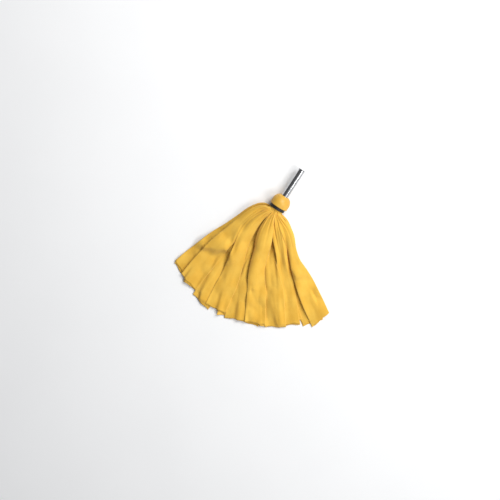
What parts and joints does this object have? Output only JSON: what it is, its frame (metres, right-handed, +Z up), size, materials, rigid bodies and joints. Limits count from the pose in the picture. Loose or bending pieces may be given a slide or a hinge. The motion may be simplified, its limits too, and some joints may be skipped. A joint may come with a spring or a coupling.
{
  "type": "strip mop head",
  "caption": "Strip mop head lying fanned out: layered cloth strips gathered in a clamp ring under a domed screw cap, with the lower end of its round tube handle.",
  "frame": {"origin": "on the floor, under the middle of the whole object's box", "axes": "+Y along the handle's axis, from the cloth towards the tube's free end; +Z up from the floor it lies on; +X to the right seen from above with the handle away from the viewer"},
  "size_m": [0.5022, 0.5162, 0.058],
  "materials": {
    "cloth": "napped needle-felt cloth with a fine embossed weave",
    "cap_plastic": "moulded, satin gloss",
    "ring_plastic": "moulded, fine texture",
    "core_plastic": "moulded",
    "tip_plastic": "moulded, fine texture",
    "tube_chrome": "polished",
    "pin_steel": "plain",
    "screw_steel": "zinc plated",
    "washer_rubber": "moulded"
  },
  "bodies": {
    "head": {"socket_cap": "cap_plastic", "clamp_ring": "ring_plastic", "clamp_core": "core_plastic", "core_washer": "screw_steel", "core_screw": "screw_steel", "inner_cloth_neck": "cloth", "second_cloth_neck": "cloth", "outer_cloth_neck": "cloth", "lower_strip_1": "cloth", "lower_strip_2": "cloth", "lower_strip_3": "cloth", "lower_strip_4": "cloth", "lower_strip_5": "cloth", "lower_strip_6": "cloth", "lower_strip_7": "cloth", "lower_strip_8": "cloth", "middle_strip_1": "cloth", "middle_strip_2": "cloth", "middle_strip_3": "cloth", "middle_strip_4": "cloth", "middle_strip_5": "cloth", "middle_strip_6": "cloth", "middle_strip_7": "cloth", "middle_strip_8": "cloth", "upper_strip_1": "cloth", "upper_strip_2": "cloth", "upper_strip_3": "cloth", "upper_strip_4": "cloth"},
    "seal": {"seal_washer": "washer_rubber"},
    "handle": {"handle_tube": "tube_chrome", "threaded_tip": "tip_plastic", "tip_pin": "pin_steel"},
    "top_strip_1": {"top_strip_1": "cloth"},
    "top_strip_2": {"top_strip_2": "cloth"},
    "top_strip_3": {"top_strip_3": "cloth"},
    "top_strip_4": {"top_strip_4": "cloth"}
  },
  "joints": [
    {"name": "thread_lead", "type": "slide", "parent": "head", "child": "seal", "axis": [0, 1, 0], "range_m": [0, 0.01525]},
    {"name": "handle_turn", "type": "hinge", "parent": "seal", "child": "handle", "pos_m": [-0.07072, 0.11659, 0.029], "axis": [0, 1, 0], "range_deg": [0, 1080]},
    {"name": "top_strip_1_lift", "type": "hinge", "parent": "head", "child": "top_strip_1", "pos_m": [-0.08396, 0.10743, 0.0425], "axis": [-0.627, 0.779, 0], "range_deg": [0, 45]},
    {"name": "top_strip_2_lift", "type": "hinge", "parent": "head", "child": "top_strip_2", "pos_m": [-0.07897, 0.10323, 0.0425], "axis": [-0.8741, 0.4857, 0], "range_deg": [0, 45]},
    {"name": "top_strip_3_lift", "type": "hinge", "parent": "head", "child": "top_strip_3", "pos_m": [-0.0709, 0.10109, 0.0425], "axis": [-0.9999, 0.0111, 0], "range_deg": [0, 45]},
    {"name": "top_strip_4_lift", "type": "hinge", "parent": "head", "child": "top_strip_4", "pos_m": [-0.05758, 0.10731, 0.0425], "axis": [-0.6345, -0.7729, 0], "range_deg": [0, 45]}
  ],
  "couplings": [
    {"joint": "thread_lead", "follows": "handle_turn", "m_per_rad": 0.00080851}
  ]
}
